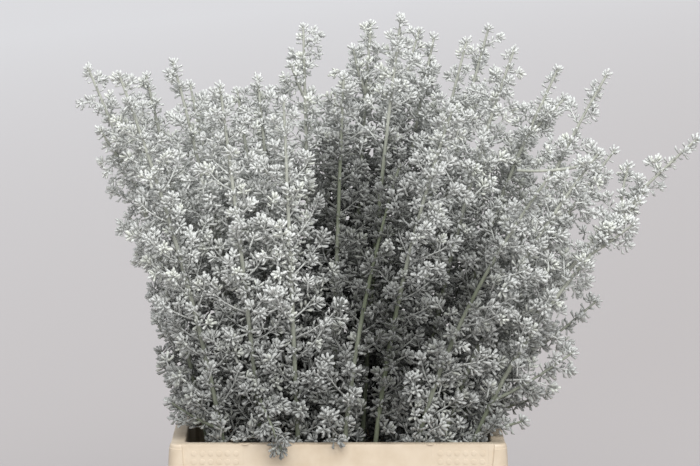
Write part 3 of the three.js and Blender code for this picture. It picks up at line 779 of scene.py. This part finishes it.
def growStem(name, tip, atRim, seed):  # its wood as tubes, and the places of its leaves
    rng = np.random.default_rng(seed)
    main = stemLine(tip, atRim)
    bare = [forkLine(main, height, end) for stem, height, end in stubs if stem == name]
    branches = [(main, habit["leafyFrom"] - wood["foot"], wood["stemRadius"])]
    for stem, height, forkTip, crown in forks:
        if stem == name:
            fork = forkLine(main, height, forkTip, crown)
            branches.append((fork, habit["forkLeafyFrom"], wood["forkRadius"]))
    tubesMade, leafPlaces = [], []

    def woodTube(line, radius):
        shares = np.linspace(0, 1, len(line))
        radii = np.interp(shares, np.linspace(0, 1, len(radius)), radius)
        along = unit(np.gradient(line, axis=0))
        made = tubes(line[None], along[None], backward[None], radii[None], wood["sides"])
        tubesMade.append((*made, barkSlot))

    for line in bare:
        woodTube(line, wood["stubRadius"])
    for line, start, radius in branches:
        woodTube(line, radius)
        twigs, places = dress(line, start, name, line is not main, rng)
        tubesMade += [(*twig, leafSlot) for twig in twigs]
        leafPlaces.append(places)
    return tubesMade, [np.concatenate(items) for items in zip(*leafPlaces)]


# Painted shade: leaves and wood are painted darker the less open their place is
def makeOpenness(roots):  # tells how open a place is: 1 on the bush's skin, towards 0 behind many leaves
    cell = shade["cell"]
    low = roots.min(0) - cell
    size = ((roots.max(0) - low) // cell).astype(int) + 3
    index = ((roots - low) // cell).astype(int)
    crowd = np.zeros(size)
    np.add.at(crowd, tuple(index.T), 1)
    covers = []
    for axis, fromFarEnd in ((0, False), (0, True), (1, False), (1, True), (2, True)):
        seen = np.flip(crowd, axis) if fromFarEnd else crowd
        cover = np.cumsum(seen, axis) - seen
        covers.append(np.flip(cover, axis) if fromFarEnd else cover)
    least = np.min(covers, 0)

    def openness(points):
        where = np.clip(((points - low) // cell).astype(int), 0, size - 1)
        return np.exp(-least[tuple(where.T)] / shade["leavesToDark"])

    return openness


def buildStem(name, tubesMade, leafPlaces, openness, rng):
    points, faces, slots, tones = [], [], [], []

    def add(madePoints, madeFaces, slot, madeTones):
        faces.append(madeFaces + sum(len(block) for block in points))
        points.append(madePoints)
        slots.append(np.full(len(madeFaces), slot))
        tones.append(madeTones)

    heights, frostAndPaintedShadeSteps = zip(*frostAndPaintedShadeByHeight.get(name, frostAndPaintedShadeByHeight[name.split("_")[0]]))

    def paleAndPaintedShade(points):  # frost with painted shade; young wood and leaves up high are pale wherever they stand
        height = np.clip((points[:, 2] - shade["paleFrom"]) / (bushTop - shade["paleFrom"]), 0, 1)
        pale = (openness(points) * (1 - height) + height) * np.interp(points[:, 2], heights, frostAndPaintedShadeSteps)
        for x, z, wide, high, depth in paintedShadeAndLightPockets:
            pale *= 1 - depth * np.exp(-((points[:, 0] - x) / wide) ** 2 - ((points[:, 2] - z) / high) ** 2)
        return pale

    for tubePoints, tubeFaces, slot in tubesMade:  # twigs are felted like leaves, the thicker wood has bark, both with painted shade
        tone = np.ones((len(tubePoints), 4))
        tone[:, :2] = shade["woodDrawn"]
        tone[:, 2] = paleAndPaintedShade(tubePoints)
        if slot == barkSlot:
            tone[:, 2] *= np.interp(tubePoints[:, 2], *wood["pale"])
        add(tubePoints, tubeFaces, slot, tone)
    roots, along, outward, angle, age, drawn = leafPlaces
    heightShare = np.clip(roots[:, 2] / bushTop, 0, 1)
    # Older leaves lower down are darker: partly their own older colour, partly painted shade
    frostAndPaintedShade = (1 - shade["oldGreyAndLowShade"] * (1 - age ** 2) * (1 - heightShare)) * paleAndPaintedShade(roots)
    frostAndPaintedShade = np.clip(frostAndPaintedShade + rng.normal(0, shade["frostScatter"], len(age)), 0, 1)
    fine = (age > leaf["fineAge"]) & (openness(roots) > shade["fineFrom"])
    for some, rings in ((fine, leaf["fineRings"]), (~fine, leaf["plainRings"])):
        placed = [item[some] for item in (roots, along, outward, angle, age)]
        leafPoints, leafFaces, partsAlong = leafBodies(*placed, rings, rng)
        tone = np.ones(leafPoints.shape[:2] + (4,))
        tone[:, :, 0] = partsAlong
        tone[:, :, 1] = np.clip(drawn[some] + rng.normal(0, shade["drawnScatter"], len(tone)), 0, 1)[:, None]
        tone[:, :, 2] = frostAndPaintedShade[some][:, None]
        add(*stamp(leafPoints, leafFaces), leafSlot, tone.reshape(-1, 4))
    piece = makePiece(
        "bluebush_" + name, np.concatenate(points), np.concatenate(faces).tolist(),
        [leafMaterial, barkMaterial], np.concatenate(slots), np.concatenate(tones),
    )
    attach(piece, "root")
    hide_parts("leafy_stem_" + name)
    return len(age), len(piece.data.polygons)


grown = {name: growStem(name, tip, atRim, seed) for seed, (name, (tip, atRim)) in enumerate(stems.items(), 1)}
opennessAt = makeOpenness(np.concatenate([places[0] for tubesMade, places in grown.values()]))
toneRng = np.random.default_rng(shade["seed"])
made = [buildStem(name, *parts, opennessAt, toneRng) for name, parts in grown.items()]
leafCount, faceCount = (sum(column) for column in zip(*made))
print("stems dressed:", leafCount, "leaves,", faceCount, "triangles")

# Water: its surface rises a little where it wets a stem
water = {
    "top": 75, "sunk": 0.6, "floor": 5.4, "topHalf": (173.1, 123.1), "lowHalf": (166.6, 116.6), "corner": 16,
    "cells": 72, "meniscus": 1.2, "meniscusReach": 3.5, "stemRadius": 3,
}


def roundedPlan(u, v, half, corner):  # a square's places from -1 to 1 laid out in a rounded rectangle
    x, y = u * half[0], v * half[1]
    past = np.maximum(np.abs(x) - (half[0] - corner), 0), np.maximum(np.abs(y) - (half[1] - corner), 0)
    beyond = np.hypot(*past)
    longest = np.maximum(past[0], past[1])
    shrink = np.where(beyond > 0, longest / np.maximum(beyond, 1e-6), 1)
    x = np.sign(x) * (np.minimum(np.abs(x), half[0] - corner) + past[0] * shrink)
    y = np.sign(y) * (np.minimum(np.abs(y), half[1] - corner) + past[1] * shrink)
    return x, y


def buildWater():
    cells = water["cells"]
    u, v = np.meshgrid(np.linspace(-1, 1, cells + 1), np.linspace(-1, 1, cells + 1), indexing="ij")
    x, y = roundedPlan(u, v, water["topHalf"], water["corner"])
    z = np.full_like(x, water["top"])
    for tip, atRim in stems.values():
        line = stemLine(tip, atRim)
        centre = [np.interp(water["top"], line[:, 2], line[:, axis]) for axis in range(2)]
        away = np.maximum(np.hypot(x - centre[0], y - centre[1]) - water["stemRadius"], 0)
        z += water["meniscus"] * np.exp(-away / water["meniscusReach"])
    z -= water["sunk"]
    points = list(zip(x.ravel(), y.ravel(), z.ravel()))
    faces = []
    for i in range(cells):
        for j in range(cells):
            corner = i * (cells + 1) + j
            faces.append((corner, corner + cells + 1, corner + cells + 2, corner + 1))
    edge = [(i, 0) for i in range(cells)] + [(cells, j) for j in range(cells)]
    edge += [(i, cells) for i in range(cells, 0, -1)] + [(0, j) for j in range(cells, 0, -1)]
    ring = [i * (cells + 1) + j for i, j in edge]
    start = len(points)
    for i, j in edge:
        lowX, lowY = roundedPlan(u[i, j], v[i, j], water["lowHalf"], water["corner"])
        points.append((float(lowX), float(lowY), water["floor"]))
    count = len(ring)
    for k in range(count):
        after = (k + 1) % count
        faces.append((start + k, start + after, ring[after], ring[k]))
    faces.append(tuple(start + k for k in reversed(range(count))))
    return makePiece("waterInCrate", points, faces, [waterMaterial], sharpAngle=40)


waterPiece = buildWater()
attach(waterPiece, "root")
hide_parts("water")
print("water filled in")

# Studio: a wide pale floor, painted paler towards the back and left as painted light, and soft light from
# the front and above. Each light has the direction that it comes from, its strength and its softness in
# degrees.
studio = {
    "floorHalf": 24, "near": picked(166, 161, 159), "far": picked(187, 186, 186),
    "nearest": 1, "farthest": 14, "paintedLightToward": (-2, 1, 0), "roughness": 0.8,
    "dome": (0.93, 0.95, 1.0, 1), "zenith": 1.2, "horizon": 0.24,
    "lights": {"keyLight": ((0.12, -1.0, 1.05), 2.3, 50), "fillLight": ((0.2, -1.0, 0.3), 0.9, 60)},
}


def buildStudio():
    material, tree, shader = newMaterial("paleFloor")
    place = addNode(tree, "ShaderNodeTexCoord").outputs["Object"]
    product = addNode(tree, "ShaderNodeVectorMath", {0: place, 1: studio["paintedLightToward"]}, operation="DOT_PRODUCT")
    paintedLightShare = remap(tree, product.outputs["Value"], studio["nearest"], studio["farthest"], 0, 1)
    tree.links.new(between(tree, paintedLightShare, studio["near"], studio["far"]), shader.inputs["Base Color"])
    shader.inputs["Roughness"].default_value = studio["roughness"]
    half = studio["floorHalf"] / mm
    corners = [(-half, -half, 0), (half, -half, 0), (half, half, 0), (-half, half, 0)]
    floor = makePiece("paleFloor", corners, [(0, 1, 2, 3)], [material])

    scene = bpy.context.scene
    world = bpy.data.worlds.new("softDome")
    world.use_nodes = True
    sky = world.node_tree
    direction = addNode(sky, "ShaderNodeTexCoord").outputs["Generated"]
    up = addNode(sky, "ShaderNodeSeparateXYZ", {"Vector": direction}).outputs["Z"]
    sky.nodes["Background"].inputs["Color"].default_value = studio["dome"]
    strength = remap(sky, up, 0, 1, studio["horizon"], studio["zenith"])
    sky.links.new(strength, sky.nodes["Background"].inputs["Strength"])
    scene.world = world
    scene.view_settings.view_transform = "Standard"
    for name, (source, strength, softness) in studio["lights"].items():
        light = bpy.data.lights.new(name, "SUN")
        light.energy = strength
        light.angle = math.radians(softness)
        lamp = bpy.data.objects.new(name, light)
        x, y, z = source
        lamp.rotation_euler = (math.atan2(math.hypot(x, y), z), 0, math.atan2(x, -y))
        scene.collection.objects.link(lamp)


buildStudio()
print("studio lit")
